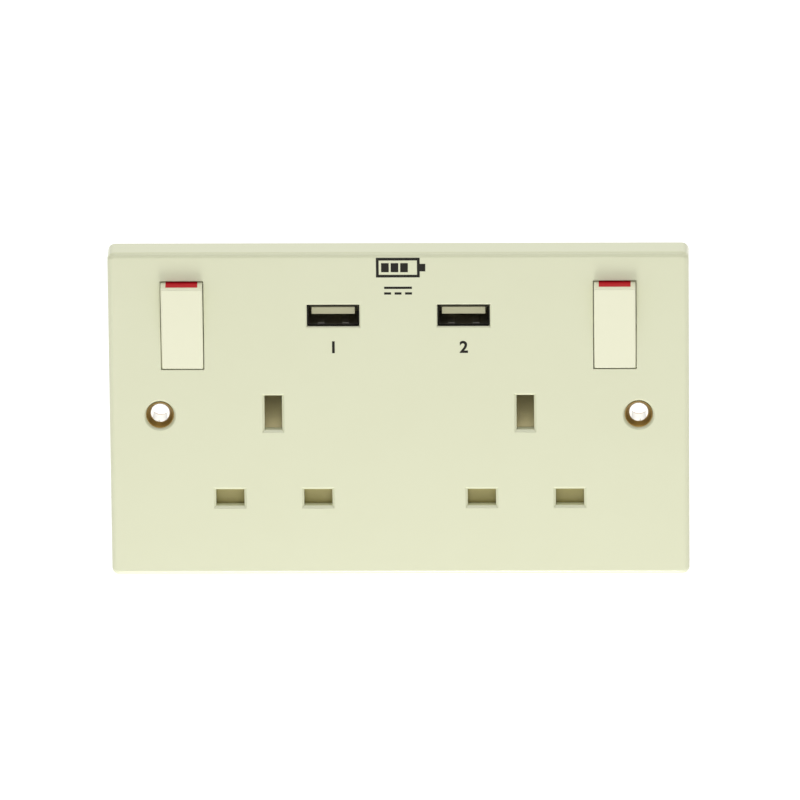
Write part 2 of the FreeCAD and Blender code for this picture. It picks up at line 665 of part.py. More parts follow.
# Shutter: a bar over the live and neutral apertures and a ramp behind the earth aperture
def shutter(name, side):
    body = piece(f"shutter_{name}", (f"{side} * socket_pitch / 2", "0", "0"))
    half = "shutter_span / 2"
    bar = rect(f"0 - {half}", half, shutter_low, shutter_top)
    pad(body, "XZ", shutter_front, shutter_back, bar)
    foot = earth_low
    stem = rect("0 - stem_width / 2", "stem_width / 2", f"{shutter_top} - stem_root", foot)
    pad(body, "XZ", shutter_front, shutter_back, stem)
    ramp = outline(
        (shutter_front, f"{foot} - ramp_root"),
        (shutter_front, foot),
        (f"{shutter_front} + shutter_travel", f"{foot} + shutter_travel"),
        (f"{shutter_front} + shutter_travel + ramp_tip", f"{foot} + shutter_travel"),
        (f"{shutter_front} + shutter_travel + ramp_tip", f"{foot} + shutter_travel + ramp_tip - ramp_thick"),
        (shutter_back, f"{foot} + shutter_thick - ramp_thick"),
        (shutter_back, f"{foot} - ramp_root"),
    )
    pad(body, "YZ", "0 - ramp_width / 2", "ramp_width / 2", ramp)


# Spring that lifts a shutter, standing on the plate's seat
def shutter_spring(name, side):
    spring_y = value(f"{shutter_front} + spring_radius + seat_gap")
    foot = FreeCAD.Vector(side * value("socket_pitch / 2"), spring_y, value(spring_low))
    up = FreeCAD.Vector(0, 0, 1)
    coil(f"shutter_spring_{name}", foot, up, value("spring_radius"), value("spring_length"), 6)


# Rear housing: a moulded tray, narrow below the back box lugs and wide above
def rear_housing():
    body = piece("rear_housing")

    def tee(inset):
        narrow = f"(narrow_half - {inset})"
        wide = f"(wide_half - {inset})"
        low = f"(housing_low + {inset})"
        step = f"(housing_step + {inset})"
        high = f"(housing_high - {inset})"
        return outline(
            (f"0 - {narrow}", low), (narrow, low), (narrow, step), (wide, step),
            (wide, high), (f"0 - {wide}", high), (f"0 - {wide}", step), (f"0 - {narrow}", step),
        )

    pad(body, "XZ", rim, "housing_depth", tee("0"))
    doc.recompute()
    box = body.Tip.Shape.BoundBox
    dress(body, "Fillet", "housing_corner", lambda e: e.YLength > box.YLength / 2)
    cut(body, "XZ", rim, floor_y, tee("housing_wall"))
    inner_low = "(housing_low + housing_wall - root)"
    inner_high = "(housing_high - housing_wall + root)"

    # Columns and ears for the housing screws
    upper = [disc(across, up, "column_radius") for across, up in SCREW_SPOTS[:3]]
    pad(body, "XZ", rim, sink, *upper)
    for side in (-1, 1):
        near = f"{side} * (narrow_half - 1)"
        spot = f"{side} * lower_screw_spread / 2"
        ear = disc(spot, "lower_screw_level", "column_radius")
        pad(body, "XZ", rim, screw_seat, ear)
        web = rect(near, spot, "lower_screw_level - column_radius", "lower_screw_level + column_radius")
        pad(body, "XZ", rim, screw_seat, web)

    # Shutter keepers on both sides of the middle and beside the outer walls
    keeper_front = f"{shutter_back} + play - seat_gap"
    keeper_high = f"{shutter_top} + pin_room"
    inner_lap = "(terminal_pitch + terminal_width / 2 + keeper_gap)"
    outer_lap = "(socket_pitch / 2 + shutter_span / 2 - 5 * play)"
    for side in (-1, 1):
        for near, far in ((inner_lap, f"{inner_lap} + rib"), (outer_lap, "narrow_half - 2 * root")):
            keeper = rect(f"{side} * ({near})", f"{side} * ({far})", inner_low, keeper_high)
            pad(body, "XZ", keeper_front, sink, keeper)
    notch = rect("housing_wall - narrow_half", "narrow_half - housing_wall",
                 f"{bar_low} - 2 * seat_gap", f"{bar_high} + 2 * seat_gap")
    cut(body, "XZ", shutter_back, feed_back, notch)

    # Posts that close the rocker pivots and the ribs behind them
    for side in (-1, 1):
        inner = f"{side} * (rocker_spread / 2 - rocker_width / 2 - play - fork_wall / 2)"
        outer = f"{side} * (rocker_spread / 2 + rocker_width / 2 + play + fork_wall / 2)"
        rib_width = "fork_wall - 2 * post_play"
        pad(body, "XZ", rim, sink, centred(inner, "rocker_level", rib_width, "post_height"))
        nose = "2 * trunnion_radius - 2 * fit_gap - 2 * seat_gap"
        noses = [centred(spot, "rocker_level", rib_width, nose) for spot in (inner, outer)]
        pad(body, "XZ", f"{pivot_y} + trunnion_radius + post_play", f"{rim} + root", *noses)

    # Walls beside the charger, open at the back for its cover
    for side in (-1, 1):
        inner = f"{side} * (board_width / 2 + charger_gap)"
        outer = f"{side} * (board_width / 2 + charger_gap + rib)"
        wall = rect(inner, outer, f"{feed_high} + charger_lift", inner_high)
        pad(body, "XZ", f"{rim} + root", sink, wall)
    window = rect("0 - board_width / 2 - play", "board_width / 2 + play", "board_low - 2 * seat_gap",
                  "housing_high - housing_wall")
    cut(body, "XZ", floor_y, "housing_depth", window)

    # Separators between the terminals, and rests under the earth strap
    walls = []
    for side in (-1, 1):
        middle = f"{side} * terminal_pitch / 2"
        high = "terminal_level + terminal_height / 2 + separator_rise"
        walls.append(rect(f"{middle} - separator / 2", f"{middle} + separator / 2", inner_low, high))
    pad(body, "XZ", f"{feed_back} + separator_gap", sink, *walls)
    rests = [centred(f"{side} * socket_pitch / 2", "0", "rest_width", "rest_height")
             for side in (-1, 1)]
    pad(body, "XZ", strap_back, sink, *rests)

    # Wire entries below, slots for the strap, and ways for screws and screwdriver
    entries = [centred(f"{spot} * terminal_pitch", wire_y, "entry_width", "entry_width")
               for spot in (-1, 0, 1)]
    cut(body, "XY", "housing_low", "housing_low + housing_wall", *entries)
    for side in (-1, 1):
        slot = rect(f"{strap_front} - 2 * seat_gap", f"{strap_back} + 2 * seat_gap",
                    "0 - strap_half - play", "strap_half + play")
        low = "0 - narrow_half" if side < 0 else "narrow_half - housing_wall"
        high = "housing_wall - narrow_half" if side < 0 else "narrow_half"
        cut(body, "YZ", low, high, slot)
    spots = [f"{spot} * terminal_pitch" for spot in (-1, 0, 1)]
    shrouds = [disc(spot, "terminal_level", "well_radius + rib") for spot in spots]
    pad(body, "XZ", "housing_depth - root", "housing_depth + well_reach", *shrouds)
    wells = [disc(spot, "terminal_level", "well_radius") for spot in spots]
    cut(body, "XZ", floor_y, "housing_depth + well_reach", *wells)
    ways = [disc(across, up, "well_radius") for across, up in SCREW_SPOTS[:3]]
    cut(body, "XZ", screw_seat, "housing_depth", *ways)
    holes = [disc(across, up, "screw_radius + screw_play") for across, up in SCREW_SPOTS]
    cut(body, "XZ", rim, screw_seat, *holes)


# Housing screws, driven from the back into the plate's bosses
def housing_screws():
    body = piece("housing_screws")
    body.AllowCompound = True
    heads = [disc(across, up, "head_radius") for across, up in SCREW_SPOTS]
    pad(body, "XZ", screw_seat, f"{screw_seat} + head_thick", *heads)
    shanks = [disc(across, up, "screw_radius") for across, up in SCREW_SPOTS]
    pad(body, "XZ", f"{screw_seat} - screw_length", screw_seat, *shanks)
    slots = []
    for across, up in SCREW_SPOTS:
        slots.append(centred(across, up, "2 * head_radius - 2 * head_rim", "head_slot"))
    cut(body, "XZ", f"{screw_seat} + head_thick / 2", f"{screw_seat} + head_thick", *slots)


# Live or neutral clip: two sprung leaves above and below the pin, joined by a web
def pin_clip(label, across):
    body = piece(label, (across, "0", "0 - pin_drop"))
    pinch = f"({face} + pin_length - pinch_depth)"
    mouth = f"({pinch} - pinch_lead)"
    tail = f"({pinch} + pinch_tail)"
    upper = [
        (clip_web, "clip_grip + clip_ease"),
        (tail, "clip_grip + clip_ease"),
        (pinch, "clip_grip"),
        (mouth, "clip_grip + clip_flare"),
        (mouth, "clip_grip + clip_flare + clip_sheet"),
        (pinch, "clip_grip + clip_sheet"),
        (tail, "clip_grip + clip_ease + clip_sheet"),
        (clip_back, "clip_grip + clip_ease + clip_sheet"),
    ]
    lower = [(along, f"0 - ({up})") for along, up in reversed(upper)]
    profile = outline(*upper, *lower)
    pad(body, "YZ", "0 - clip_width / 2", "clip_width / 2", profile)


# Earth clip: two upright leaves beside the long earth pin
def earth_contact(name, side):
    body = piece(f"earth_contact_{name}", (f"{side} * socket_pitch / 2", "0", "0"))
    mouth = f"({shutter_front} + shutter_travel + ramp_tip + 2 * play)"
    web = f"({strap_front} - clip_sheet)"
    pinch = f"({mouth} + earth_pinch)"
    tail = f"({mouth} + earth_tail)"
    leaf = "(clip_grip + leaf_ease)"
    right = [
        (leaf, web),
        (leaf, tail),
        ("clip_grip", pinch),
        (f"{leaf} + clip_ease", mouth),
        (f"{leaf} + clip_ease + clip_sheet", mouth),
        ("clip_grip + clip_sheet", pinch),
        (f"{leaf} + clip_sheet", tail),
        (f"{leaf} + clip_sheet", strap_front),
    ]
    left = [(f"0 - ({across})", along) for across, along in reversed(right)]
    profile = outline(*right, *left)
    pad(body, "XY", "0 - earth_clip_half", "earth_clip_half", profile)


# Neutral bar: joins the neutral clips low in the housing and rises to the neutral terminal
def neutral_bar():
    body = piece("neutral_bar")
    left = "(0 - socket_pitch / 2 - pin_spread / 2)"
    right = "(socket_pitch / 2 - pin_spread / 2)"
    run = rect(f"{left} - tab_half", f"{right} + tab_half", bar_low, bar_high)
    riser = centred("0 - terminal_pitch", f"(terminal_level + {bar_low}) / 2", "bar_width",
                    f"terminal_level - {bar_low}")
    pad(body, "XZ", feed_front, feed_back, run)
    pad(body, "XZ", feed_front, feed_back, riser)
    for spot in (left, right):
        step = rect(f"{spot} - tab_half", f"{spot} + tab_half", f"{bar_high} - root", f"{bar_high} + strip")
        pad(body, "XZ", feed_front, bus_back, step)
        tab = rect(f"{spot} - tab_half", f"{spot} + tab_half", f"{bar_high} - root", "tab_half - pin_drop")
        pad(body, "XZ", bus_front, bus_back, tab)


# Switched live bar: from a live clip, over the earth clip and up to the switch
def switched_live_bar(name, side):
    body = piece(f"switched_live_bar_{name}")
    clip = f"({side} * socket_pitch / 2 + pin_spread / 2)"
    tab = rect(f"{clip} - bar_width / 2", f"{clip} + bar_width / 2", "0 - pin_drop - tab_half",
               live_run_high)
    pad(body, "XZ", bus_front, bus_back, tab)
    ends = [f"{clip} - {side} * bar_width / 2", f"{side} * {riser_x}"]
    run = rect(ends[0], ends[1], live_run_low, live_run_high)
    pad(body, "XZ", bus_front, bus_back, run)
    near = f"{side} * ({riser_x} - bar_width)"
    arm_low = "(rocker_level + rivet_spot - bar_width / 2)"
    arm_high = f"({arm_low} + bar_width)"
    riser = rect(near, f"{side} * {riser_x}", live_run_low, arm_high)
    pad(body, "XZ", bus_front, bus_back, riser)
    arm = rect(near, f"{side} * (rocker_spread / 2 + tab_half)", arm_low, arm_high)
    pad(body, "XZ", bus_front, bus_back, arm)
    touch = f"({strip_back} + rivet_thick + rivet_spot * sin(strip_tilt * 1 deg) + open_gap)"
    rivet = disc(f"{side} * rocker_spread / 2", "rocker_level + rivet_spot - rivet_margin",
                 "rivet_radius + rivet_margin")
    pad(body, "XZ", touch, f"{bus_front} + seat_gap", rivet)


# Live feed bar: from the live terminal to the fulcrum of both switches and the charger
def live_feed_bar():
    body = piece("live_feed_bar")
    reach = "(rocker_spread / 2 + bar_width / 2)"
    riser = rect("terminal_pitch - bar_width / 2", "terminal_pitch + bar_width / 2",
                 "terminal_level - tab_half", feed_high)
    pad(body, "XZ", feed_front, feed_back, riser)
    pad(body, "XZ", feed_front, feed_back, rect(f"0 - {reach}", reach, feed_low, feed_high))
    tail = rect("terminal_pitch + charger_feed", "terminal_pitch + charger_feed + bar_width",
                feed_low, "board_low")
    pad(body, "XZ", feed_front, feed_back, tail)
    for side in (-1, 1):
        spot = f"{side} * rocker_spread / 2"
        post = rect(f"{spot} - bar_width / 2", f"{spot} + bar_width / 2", feed_low,
                    "rocker_level + bar_width / 2")
        pad(body, "XZ", feed_front, feed_back, post)
        ridge = outline(
            (f"{strip_back} + fit_gap", "rocker_level - ridge_tip"),
            (f"{feed_front} + seat_gap", "rocker_level - ridge_root"),
            (f"{feed_front} + seat_gap", "rocker_level + ridge_root"),
            (f"{strip_back} + fit_gap", "rocker_level + ridge_tip"),
        )
        pad(body, "YZ", f"{spot} - bar_width / 2", f"{spot} + bar_width / 2", ridge)


# Earth strap: across the floor of the housing and out to both ferrules
def earth_strap():
    body = piece("earth_strap")
    leg = "(narrow_half + strap_clear)"
    low = "0 - strap_half"
    run = rect(f"0 - {leg} - strip", f"{leg} + strip", low, "strap_half")
    pad(body, "XZ", strap_front, strap_back, run)
    riser = rect("0 - bar_width / 2", "bar_width / 2", "terminal_level + terminal_height / 2",
                 "root - strap_half")
    pad(body, "XZ", strap_front, strap_back, riser)
    for side in (-1, 1):
        ends = (f"{side} * {leg}", f"{side} * ({leg} + strip)")
        pad(body, "XZ", ferrule_back, strap_back, rect(ends[0], ends[1], low, "strap_half"))
        foot = rect(ends[0], f"{side} * (hole_pitch / 2 + ferrule_radius + foot_reach)",
                    "0 - foot_half", "foot_half")
        pad(body, "XZ", ferrule_back, "0 - seat_gap", foot)
    holes = [disc(f"{side} * hole_pitch / 2", "0", "screw_way_radius + foot_play") for side in (-1, 1)]
    cut(body, "XZ", ferrule_back, "0 - seat_gap", *holes)


# Terminal block: a brass block with an upright wire way and a threaded hole from the back
def terminal(name, spot):
    body = piece(f"{name}_terminal", (f"{spot} * terminal_pitch", "0", "terminal_level"))
    pad(body, "XZ", feed_back, block_back, centred("0", "0", "terminal_width", "terminal_height"))
    doc.recompute()
    half = body.Tip.Shape.BoundBox.ZMax
    dress(body, "Chamfer", "metal_bevel", lambda e: e.ZMin > half - 0.001 or e.ZMax < 0.001 - half)
    high = "terminal_height / 2"
    cut(body, "XY", f"0 - {high}", f"{high} - wire_stop", disc("0", wire_y, "wire_way_radius"))
    cut(body, "XZ", wire_y, block_back, disc("0", "0", "clamp_radius + fit_gap"))


# Terminal screw: slotted and headless, backed off clear of the wire way
def terminal_screw(name, spot):
    tip = f"({wire_y} + wire_way_radius + seat_gap)"
    body = piece(f"{name}_terminal_screw", (f"{spot} * terminal_pitch", tip, "terminal_level"))
    pad(body, "XZ", "0", "clamp_length", disc("0", "0", "clamp_radius"))
    doc.recompute()
    front = body.Tip.Shape.BoundBox.YMin
    dress(body, "Chamfer", "metal_bevel", lambda e: e.YMax < front + 0.001)
    slot = centred("0", "0", "3 * clamp_radius", "clamp_slot")
    cut(body, "XZ", "clamp_length - clamp_slot_depth", "clamp_length", slot)


# USB shell: a folded steel box, open at both ends
def usb_shell(name, side):
    body = piece(f"usb_shell_{name}", (f"{side} * usb_spread / 2", "0", "usb_level"))
    pad(body, "XZ", shell_front, board_front, centred("0", "0", "shell_width", "shell_height"))
    doc.recompute()
    long_edge = body.Tip.Shape.BoundBox.YLength / 2
    dress(body, "Fillet", "2 * shell_wall", lambda e: e.YLength > long_edge)
    inside = centred("0", "0", "shell_width - 2 * shell_wall", "shell_height - 2 * shell_wall")
    cut(body, "XZ", shell_front, board_front, inside)


# USB tongue: the insulator at the back of a port with its tongue in the upper half
def usb_tongue(name, side):
    body = piece(f"usb_tongue_{name}", (f"{side} * usb_spread / 2", "0", "usb_level"))
    block = centred("0", "0", "shell_width - 2 * shell_wall - 2 * fit_gap",
                    "shell_height - 2 * shell_wall - 2 * fit_gap")
    pad(body, "XZ", f"{board_front} - tongue_block", board_front, block)
    tongue = rect("0 - tongue_width / 2", "tongue_width / 2", "0", "tongue_thick")
    pad(body, "XZ", f"{shell_front} + tongue_back", f"{board_front} - tongue_block + root", tongue)


# USB contacts: four flat springs under the tongue
def usb_contacts(name, side):
    body = piece(f"usb_contacts_{name}", (f"{side} * usb_spread / 2", "0", "usb_level"))
    body.AllowCompound = True
    strips = []
    for spot in ("0 - outer_contact", "0 - inner_contact", "inner_contact", "outer_contact"):
        strips.append(centred(spot, "0 - contact_thick / 2", "contact_width", "contact_thick"))
    front = f"{shell_front} + tongue_back + contact_back"
    pad(body, "XZ", front, f"{board_front} - tongue_block", *strips)


# Charger board behind the ports, with its parts on the back
def usb_board():
    body = piece("usb_board")
    half = "board_width / 2"
    pad(body, "XZ", board_front, board_back, rect(f"0 - {half}", half, "board_low", "board_high"))


def board_part(label, across, up, reach, shape):
    body = piece(label, (across, board_back, up))
    pad(body, "XZ", "0", reach, shape)
    return body


def board_parts():
    middle = "(board_low + board_high) / 2"
    core = board_part("usb_transformer", "0", middle, "3", centred("0", "0", "14", "13"))
    pad(core, "XZ", "2.5", "8.5", centred("0", "0", "10", "9"))
    pad(core, "XZ", "8", "10.6", centred("0", "0", "14", "13"))
    for name, across, up, reach, radius in (
        ("input", "-15", middle, "10.5", "4.5"),
        ("output", "14", f"{middle} + 3", "9", "3.2"),
    ):
        can = board_part(f"usb_{name}_capacitor", across, up, reach, disc("0", "0", radius))
        doc.recompute()
        top = can.Tip.Shape.BoundBox.YMax
        dress(can, "Chamfer", "metal_bevel", lambda e: e.YMin > top - 0.001)
    board_part("usb_control_chip", "14", f"{middle} - 4", "1.6", centred("0", "0", "6", "5"))
    board_part("usb_rectifier", "22.5", middle, "2.4", centred("0", "0", "4", "6"))


# Link from the neutral terminal to the charger board
def usb_neutral_link():
    body = piece("usb_neutral_link")
    spot = "(0 - terminal_pitch)"
    top = "board_low"
    strip = rect(f"{spot} - link_half", f"{spot} + link_half",
                 "terminal_level + terminal_height / 2", top)
    pad(body, "XZ", bus_front, bus_back, strip)
    foot = rect(f"{spot} - link_half", f"{spot} + link_half", f"{top} - strip", top)
    pad(body, "XZ", board_front, bus_back, foot)


# Charger cover: a cap through the housing floor, with its flange on the back
def usb_cover():
    body = piece("usb_cover")
    half = "board_width / 2"
    outer = rect(f"0 - {half}", half, "board_low", "board_high")
    back = "(housing_depth + cover_reach)"
    pad(body, "XZ", board_back, back, outer)
    flange = rect(f"0 - {half} - cover_flange", f"{half} + cover_flange",
                  "board_low - cover_flange", "housing_high")
    pad(body, "XZ", "housing_depth", "housing_depth + cover_wall", flange)
    doc.recompute()
    rear = body.Tip.Shape.BoundBox.YMax
    dress(body, "Fillet", "cover_round", lambda e: e.YMin > rear - 0.001)
    inside = rect(f"cover_wall - {half}", f"{half} - cover_wall", "board_low + cover_wall",
                  "board_high - cover_wall")
    cut(body, "XZ", board_back, f"{back} - cover_wall", inside)
    vents = []
    for spot in range(-3, 4):
        vents.append(centred(f"{spot} * vent_pitch", "(board_low + board_high) / 2", "vent_width",
                             "vent_height"))
    cut(body, "XZ", f"{back} - cover_wall", back, *vents)


front_plate()
rear_housing()
housing_screws()
for name, side in SIDES.items():
    fixing_ferrule(name, side)
    rocker(name, side)
    rocker_flash(name, side)
    plunger(name, side)
    rocker_spring(name, side)
    moving_contact(name, side)
    shutter(name, side)
    shutter_spring(name, side)
    pin_clip(f"neutral_contact_{name}", f"{side} * socket_pitch / 2 - pin_spread / 2")
    pin_clip(f"live_contact_{name}", f"{side} * socket_pitch / 2 + pin_spread / 2")
    earth_contact(name, side)
    switched_live_bar(name, side)
    usb_shell(name, side)
    usb_tongue(name, side)
    usb_contacts(name, side)
neutral_bar()
live_feed_bar()
earth_strap()
for name, spot in (("neutral", -1), ("earth", 0), ("live", 1)):
    terminal(name, spot)
    terminal_screw(name, spot)
usb_board()
board_parts()
usb_neutral_link()
usb_cover()

# Rebuild, look every object over and write one file for each piece
doc.recompute()
for item in doc.Objects:
    if "Invalid" in item.State or "Error" in item.State:
        raise RuntimeError(f"{item.Label} did not build: {item.State}")
    if item.TypeId == "PartDesign::Pocket" and item.BaseFeature:
        if item.Shape.Volume > item.BaseFeature.Shape.Volume - 0.001:
            print(f"{item.Label} takes nothing away")
for body in pieces:
    if body.Shape.isNull() or not body.Shape.isValid():
        raise RuntimeError(f"{body.Label} has no valid shape")
    body.Shape.exportStep(f"parts/{body.Label}.step")
    print(f"{body.Label}: {len(body.Shape.Solids)} solids, {body.Shape.Volume:.1f} cubic mm")
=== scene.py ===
# %% [markdown]
# A double wall socket with two charging ports
#
# This lesson dresses a finished CAD assembly in Blender. The assembly is already the right size and in the
# right place, so nothing here moves it. What is left is what a camera sees: soft edges, a glossy cream
# moulding, red inserts, dull brass, dark ports, ink, light and the point of view.
#
# We start by loading the assembly as a fixed frame. Every length below is in metres.

# %% Load the frame
import json
import math
import bmesh
import bpy
from mathutils import Euler, Matrix, Vector

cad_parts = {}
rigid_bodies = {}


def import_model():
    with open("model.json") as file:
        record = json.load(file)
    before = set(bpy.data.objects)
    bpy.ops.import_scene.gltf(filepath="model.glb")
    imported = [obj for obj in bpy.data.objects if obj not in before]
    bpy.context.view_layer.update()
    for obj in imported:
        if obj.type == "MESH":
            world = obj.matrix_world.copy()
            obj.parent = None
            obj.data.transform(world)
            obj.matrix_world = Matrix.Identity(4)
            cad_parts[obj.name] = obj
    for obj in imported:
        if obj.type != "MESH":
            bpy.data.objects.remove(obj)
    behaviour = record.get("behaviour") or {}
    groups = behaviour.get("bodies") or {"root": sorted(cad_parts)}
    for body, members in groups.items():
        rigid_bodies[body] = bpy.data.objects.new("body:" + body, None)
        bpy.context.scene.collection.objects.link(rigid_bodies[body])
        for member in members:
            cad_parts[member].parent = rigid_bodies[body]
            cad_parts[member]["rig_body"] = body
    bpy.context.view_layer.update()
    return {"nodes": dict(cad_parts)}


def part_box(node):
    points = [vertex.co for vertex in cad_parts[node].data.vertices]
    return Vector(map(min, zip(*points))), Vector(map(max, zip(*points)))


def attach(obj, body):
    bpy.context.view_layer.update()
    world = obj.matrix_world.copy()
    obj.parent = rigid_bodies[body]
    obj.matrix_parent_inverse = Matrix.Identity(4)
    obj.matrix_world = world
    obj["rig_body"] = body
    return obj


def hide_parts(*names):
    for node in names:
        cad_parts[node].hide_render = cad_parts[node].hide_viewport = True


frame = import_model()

MM = 0.001
scene = bpy.context.scene
print("pieces in the frame:", len(frame["nodes"]))

# %% [markdown]
# Shader maths as sums
#
# A node tree is a long way to write a sum. One small class wraps a socket and overloads the operators that
# we use, so that "mask * 0.2 + 0.1" adds its Math nodes by itself. The reflected forms let a number stand
# first, as in "1 - mask".

# %% A socket that can be used in sums
class Wire:
    def __init__(self, tree, socket):
        self.tree = tree
        self.socket = socket

    def maths(self, operation, first, second):
        node = self.tree.nodes.new("ShaderNodeMath")
        node.operation = operation
        for socket, value in zip(node.inputs, (first, second)):
            if isinstance(value, Wire):
                self.tree.links.new(value.socket, socket)
            else:
                socket.default_value = value
        return Wire(self.tree, node.outputs[0])

    def __add__(self, other):
        return self.maths("ADD", self, other)

    def __sub__(self, other):
        return self.maths("SUBTRACT", self, other)

    def __rsub__(self, other):
        return self.maths("SUBTRACT", other, self)

    def __mul__(self, other):
        return self.maths("MULTIPLY", self, other)

    def __gt__(self, other):
        return self.maths("GREATER_THAN", self, other)

    def __abs__(self):
        return self.maths("ABSOLUTE", self, 0.0)

    def positive(self):
        """The value where it is above nought, and nought elsewhere."""
        return self.maths("MAXIMUM", self, 0.0)

    __radd__ = __add__
    __rmul__ = __mul__


print("a wired socket can be added, subtracted, multiplied and compared")

# %% [markdown]
# A finish
#
# Every material here is one Principled shader with a few nodes in front of it. What is the same all over a
# surface is set on the shader's own socket. What changes over it, such as mottling or grain, is linked.
# Patterns read Object coordinates, so they stay put when a piece moves on its joint. Tints can be laid one
# over another, as coats of paint are, because each blends with what is already linked.

# %% A material under construction
def linear(red, green, blue):
    """The linear colour of a screen colour given as three numbers up to 255."""
    def channel(value):
        value /= 255
        return value / 12.92 if value <= 0.04045 else ((value + 0.055) / 1.055) ** 2.4
    return channel(red), channel(green), channel(blue)


class Finish:
    def __init__(self, name, colour, roughness, metallic=0.0, specular=0.5, coat=0.0):
        self.material = bpy.data.materials.new(name)
        self.material.use_nodes = True
        self.tree = self.material.node_tree
        self.shader = self.tree.nodes["Principled BSDF"]
        self.colour = (*linear(*colour), 1)
        self.shader.inputs["Base Color"].default_value = self.colour
        self.shader.inputs["Roughness"].default_value = roughness
        self.shader.inputs["Metallic"].default_value = metallic
        self.shader.inputs["Specular IOR Level"].default_value = specular
        self.shader.inputs["Coat Weight"].default_value = coat
        self.material.diffuse_color = self.colour

    def node(self, kind, settings=None, sockets=None, output=0):
        """A node of a kind with its settings and its sockets' values or links, as one output."""
        made = self.tree.nodes.new(kind)
        for key, value in (settings or {}).items():
            setattr(made, key, value)
        for key, value in (sockets or {}).items():
            if isinstance(value, Wire):
                self.tree.links.new(value.socket, made.inputs[key])
            else:
                made.inputs[key].default_value = value
        return Wire(self.tree, made.outputs[output])

    def feed(self, socket, wire):
        self.tree.links.new(wire.socket, self.shader.inputs[socket])

    def place(self, axis=None):
        """Where a point lies on the object, whole or along one axis."""
        whole = self.node("ShaderNodeTexCoord", output="Object")
        if axis is None:
            return whole
        return self.node("ShaderNodeSeparateXYZ", None, {"Vector": whole}, axis)

    def grain(self, size, detail=2.0, stretch=(1, 1, 1)):
        """Noise whose blotches are about size metres across."""
        place = self.node("ShaderNodeMapping", None, {"Vector": self.place(), "Scale": stretch})
        sockets = {"Vector": place, "Scale": 1 / size, "Detail": detail, "Roughness": 0.55}
        return self.node("ShaderNodeTexNoise", None, sockets)

    def tint(self, mask, other):
        """Blend what is there towards another screen colour where the mask is high."""
        before = self.shader.inputs["Base Color"].links
        under = Wire(self.tree, before[0].from_socket) if before else self.colour
        sockets = {0: mask, 6: under, 7: (*linear(*other), 1)}
        self.feed("Base Color", self.node("ShaderNodeMix", {"data_type": "RGBA"}, sockets, 2))

    def relief(self, height, depth, edge=0.0):
        """A bump of a real depth in metres, on edges softened by a real radius."""
        sockets = {"Height": height, "Strength": 1.0, "Distance": depth}
        if edge:
            sockets["Normal"] = self.node("ShaderNodeBevel", {"samples": 6}, {"Radius": edge})
        self.feed("Normal", self.node("ShaderNodeBump", None, sockets))


print("a mid grey of 128 is", round(linear(128, 128, 128)[0], 3), "of white in light")

# %% [markdown]
# Cream mouldings
#
# The plate and rockers are pressed from urea, which is hard, glossy and slightly translucent looking. Its
# gloss is never optically flat: the surface has a very shallow waviness, which blurs and bends reflections.
# The colour is mottled a little by the powder. Noises make both. The rockers are painted a shade lighter,
# which is painted light: their faces tilt down towards the light from below.
#
# The roughness varies with a third noise, but never falls to a quarter. Below that, single rays find the
# lamps and leave specks in the picture.
#
# A mask on height tints the last millimetre of the plate's upper side darker: this is painted shade.

# %% Plate and rocker plastics
GLOSS = 0.32  # roughness about which the noise plays
CLEAR_COAT = 0.06  # roughness of the skin on top
PLATE_WAVE = 0.012 * MM
ROCKER_WAVE = 0.010 * MM
SHADE_TOP_FROM = 42.2 * MM
SHADE_TOP_FULL = 42.7 * MM


def cream(name, colour, deeper, wave, top_shade=None):
    finish = Finish(name, colour, GLOSS, coat=0.25)
    finish.shader.inputs["Coat Roughness"].default_value = CLEAR_COAT
    finish.tint(finish.grain(18 * MM, 4.0) * 0.5, deeper)
    # Painted shade: the plate's upper side is tinted darker near its top.
    if top_shade:
        sockets = {"Value": finish.place("Z"), "From Min": SHADE_TOP_FROM, "From Max": SHADE_TOP_FULL}
        edge = finish.node("ShaderNodeMapRange", {"interpolation_type": "SMOOTHSTEP"}, sockets)
        finish.tint(edge, top_shade)
    finish.feed("Roughness", finish.grain(2.5 * MM) * 0.06 + (GLOSS - 0.03))
    finish.relief(finish.grain(7 * MM, 1.0), wave, 0.22 * MM)
    return finish.material


# The last colour is painted shade for the plate's upper side.
plate_cream = cream("plate_cream", (220, 222, 191), (215, 216, 183), PLATE_WAVE, (202, 204, 171))
# Painted light: the rockers' cream is lighter than the plate's.
rocker_cream_lit = cream("rocker_cream_lit", (228, 228, 200), (224, 224, 194), ROCKER_WAVE)
print("cream finishes:", plate_cream.name, rocker_cream_lit.name)

# %% [markdown]
# Shutters
#
# A shutter is a plainer, satin moulding behind the plate. Its colour is painted shade: the bar sits in deep
# shade, where light has bounced off cream walls many times and turned khaki, so the base colour is khaki,
# and the ramp is painted a little paler. One mask on height, cut between the two, blends the tones.

# %% Shutter plastic
BAR_TOP = -16 * MM

shutter_shade = Finish("shutter_painted_shade", (163, 154, 94), 0.42)
# Painted light and shade: darker khaki for the bar in shade, paler above BAR_TOP for the ramp.
shutter_shade.tint((shutter_shade.place("Z") > BAR_TOP) * 0.8 + shutter_shade.grain(6 * MM) * 0.2, (244, 230, 176))
shutter_shade.relief(shutter_shade.grain(4 * MM), 0.01 * MM, 0.15 * MM)
shutter_painted_shade = shutter_shade.material
print("shutter finish:", shutter_painted_shade.name)

# %% [markdown]
# Red inserts
#
# The red flash that shows when a switch is on is a separate moulding, pushed into the rocker's end. It is
# as glossy as the rocker, with a faint brush of lighter haze on its surface.

# %% Red plastic
red = Finish("flash_red", (190, 20, 34), 0.3, specular=0.3)
red.tint(red.grain(1.2 * MM, 3.0) * 0.35, (202, 36, 48))
red.relief(red.grain(2 * MM), 0.01 * MM, 0.15 * MM)
flash_red = red.material
print("flash finish:", flash_red.name)

